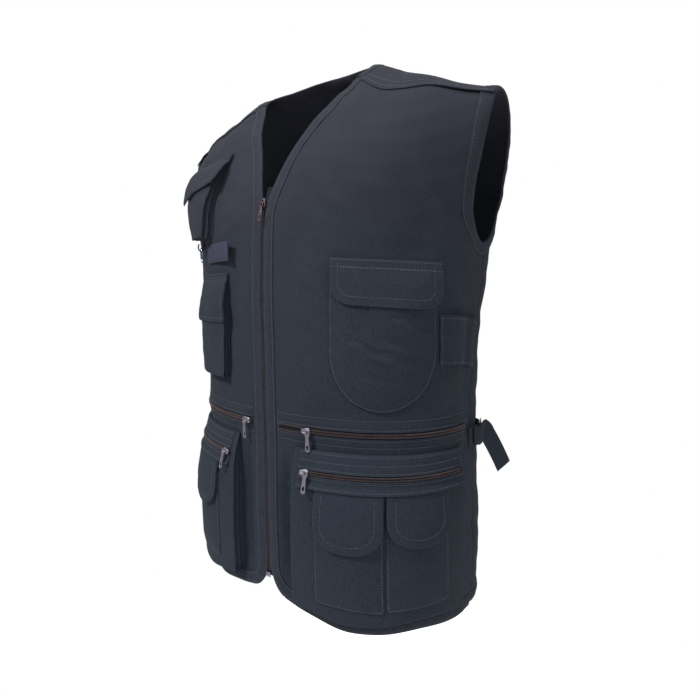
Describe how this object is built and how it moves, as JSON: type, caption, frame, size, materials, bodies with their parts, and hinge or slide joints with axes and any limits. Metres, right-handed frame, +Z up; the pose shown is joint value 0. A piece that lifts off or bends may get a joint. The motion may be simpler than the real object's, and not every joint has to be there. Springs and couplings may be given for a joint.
{
  "type": "work vest",
  "caption": "Sleeveless V-neck work vest in dark twill with a full front zip, bound edges, zipped cargo pockets, flap pockets, tool loops and adjustable side straps, shaped as worn.",
  "frame": {"origin": "midway between the two neck points of the shoulders, where the vest hangs", "axes": "+Z up, +X to the wearer's left, the front faces -Y"},
  "size_m": [0.5036, 0.2806, 0.6947],
  "materials": {
    "twill": "dark navy-grey cotton twill",
    "binding": "dark folded binding",
    "zip_tape": "woven tape",
    "zip_coil": "brown nylon coil",
    "pull_metal": "silver plated",
    "webbing": "woven webbing",
    "buckle_plastic": "black moulded",
    "ring_chrome": "polished"
  },
  "bodies": {
    "vest": {"back_panel": "twill", "left_front_panel": "twill", "right_front_panel": "twill", "left_front_binding": "binding", "right_front_binding": "binding", "left_armhole_binding": "binding", "right_armhole_binding": "binding", "back_neck_binding": "binding", "back_hem_binding": "binding", "front_zip_tape": "zip_tape", "front_zip_chain": "zip_coil", "front_zip_slider": "pull_metal", "front_zip_stop": "pull_metal", "left_waist_zip_frame": "twill", "right_waist_zip_frame": "twill", "left_waist_zip_chain": "zip_coil", "left_waist_zip_slider": "pull_metal", "right_waist_zip_chain": "zip_coil", "right_waist_zip_slider": "pull_metal", "left_cargo_pocket": "twill", "right_cargo_pocket": "twill", "left_cargo_zip_band": "twill", "right_cargo_zip_band": "twill", "left_cargo_zip_chain": "zip_coil", "right_cargo_zip_chain": "zip_coil", "left_cargo_zip_slider": "pull_metal", "right_cargo_zip_slider": "pull_metal", "left_inner_small_pocket": "twill", "right_inner_small_pocket": "twill", "left_inner_small_flap": "twill", "right_inner_small_flap": "twill", "left_outer_small_pocket": "twill", "right_outer_small_pocket": "twill", "left_outer_small_flap": "twill", "right_outer_small_flap": "twill", "left_chest_pocket": "twill", "left_chest_flap": "twill", "left_tool_loops": "twill", "right_radio_pocket": "twill", "right_radio_flap": "twill", "right_narrow_pocket": "twill", "right_narrow_flap": "twill", "right_webbing_tab": "webbing", "right_ring_loop": "twill", "right_ring": "ring_chrome", "left_strap_tab": "twill", "right_strap_tab": "twill", "left_strap_buckle": "buckle_plastic", "right_strap_buckle": "buckle_plastic", "left_strap": "twill", "right_strap": "twill"},
    "front_zip_pull": {"front_zip_pull": "pull_metal"},
    "left_waist_zip_pull": {"left_waist_zip_pull": "pull_metal"},
    "right_waist_zip_pull": {"right_waist_zip_pull": "pull_metal"},
    "left_cargo_zip_pull": {"left_cargo_zip_pull": "pull_metal"},
    "right_cargo_zip_pull": {"right_cargo_zip_pull": "pull_metal"}
  },
  "joints": [
    {"name": "front_zip_pull_hinge", "type": "hinge", "parent": "vest", "child": "front_zip_pull", "pos_m": [0, -0.11058, -0.15654], "axis": [-1, 0, 0], "range_deg": [0, 160]},
    {"name": "left_waist_zip_pull_hinge", "type": "hinge", "parent": "vest", "child": "left_waist_zip_pull", "pos_m": [0.07039, -0.12023, -0.42546], "axis": [0.1575, -0.9875, 0.0057], "range_deg": [-45, 75]},
    {"name": "right_waist_zip_pull_hinge", "type": "hinge", "parent": "vest", "child": "right_waist_zip_pull", "pos_m": [-0.0339, -0.12437, -0.42547], "axis": [-0.0561, -0.9984, 0.0038], "range_deg": [-75, 45]},
    {"name": "left_cargo_zip_pull_hinge", "type": "hinge", "parent": "vest", "child": "left_cargo_zip_pull", "pos_m": [0.07457, -0.13062, -0.47079], "axis": [0.1606, -0.948, 0.2747], "range_deg": [-45, 75]},
    {"name": "right_cargo_zip_pull_hinge", "type": "hinge", "parent": "vest", "child": "right_cargo_zip_pull", "pos_m": [-0.06936, -0.13151, -0.47079], "axis": [-0.1451, -0.9506, 0.2746], "range_deg": [-75, 45]}
  ]
}
